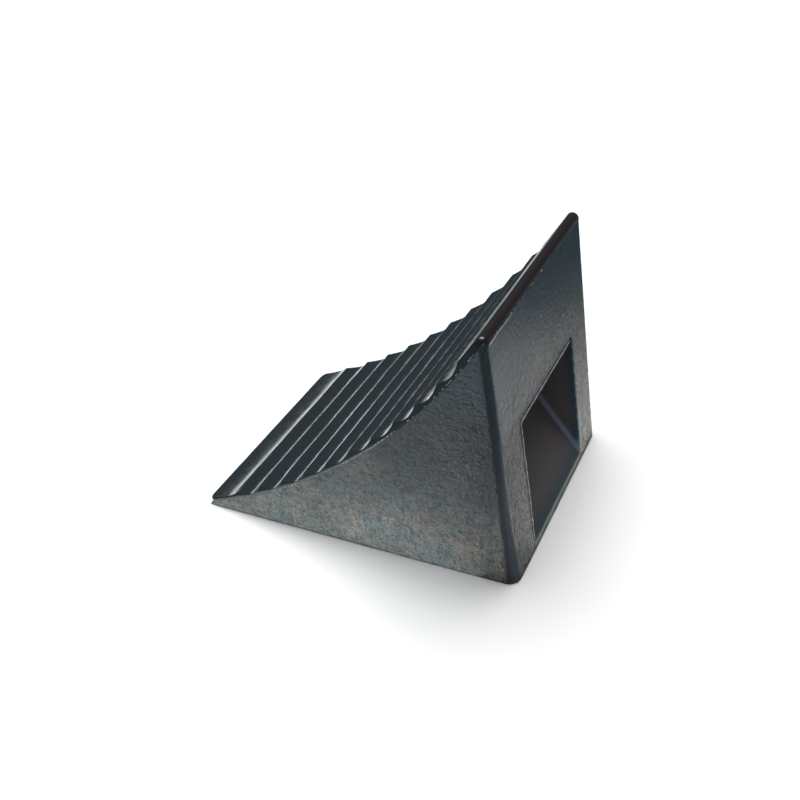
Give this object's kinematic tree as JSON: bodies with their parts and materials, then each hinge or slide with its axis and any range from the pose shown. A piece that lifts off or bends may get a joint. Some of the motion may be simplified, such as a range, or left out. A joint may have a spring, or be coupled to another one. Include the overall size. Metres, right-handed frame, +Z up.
{
  "type": "wheel chock",
  "caption": "Moulded rubber wedge wheel chock with a concave, cross-ribbed ramp for the tyre, a rounded crest and a hand pocket in its rear face.",
  "frame": {"origin": "middle of the flat base's footprint, on the ground", "axes": "+X from the thin toe to the tall heel, +Y across the width, to the right of someone who stands behind the heel and looks towards the toe, +Z up"},
  "size_m": [0.208, 0.152, 0.1561],
  "materials": {
    "tread_rubber": "smooth, slightly glossy moulded rubber with a blue cast",
    "body_rubber": "dull, slightly rough moulded rubber"
  },
  "bodies": {
    "root": {"toe_lip": "tread_rubber", "rib_01": "tread_rubber", "rib_02": "tread_rubber", "rib_03": "tread_rubber", "rib_04": "tread_rubber", "rib_05": "tread_rubber", "rib_06": "tread_rubber", "rib_07": "tread_rubber", "rib_08": "tread_rubber", "rib_09": "tread_rubber", "rib_10": "tread_rubber", "crest_bar": "tread_rubber", "left_cheek": "body_rubber", "right_cheek": "body_rubber", "left_post": "body_rubber", "right_post": "body_rubber", "core_wedge": "body_rubber", "sill_lip": "body_rubber", "ramp_web": "body_rubber", "lintel": "body_rubber"}
  },
  "joints": []
}
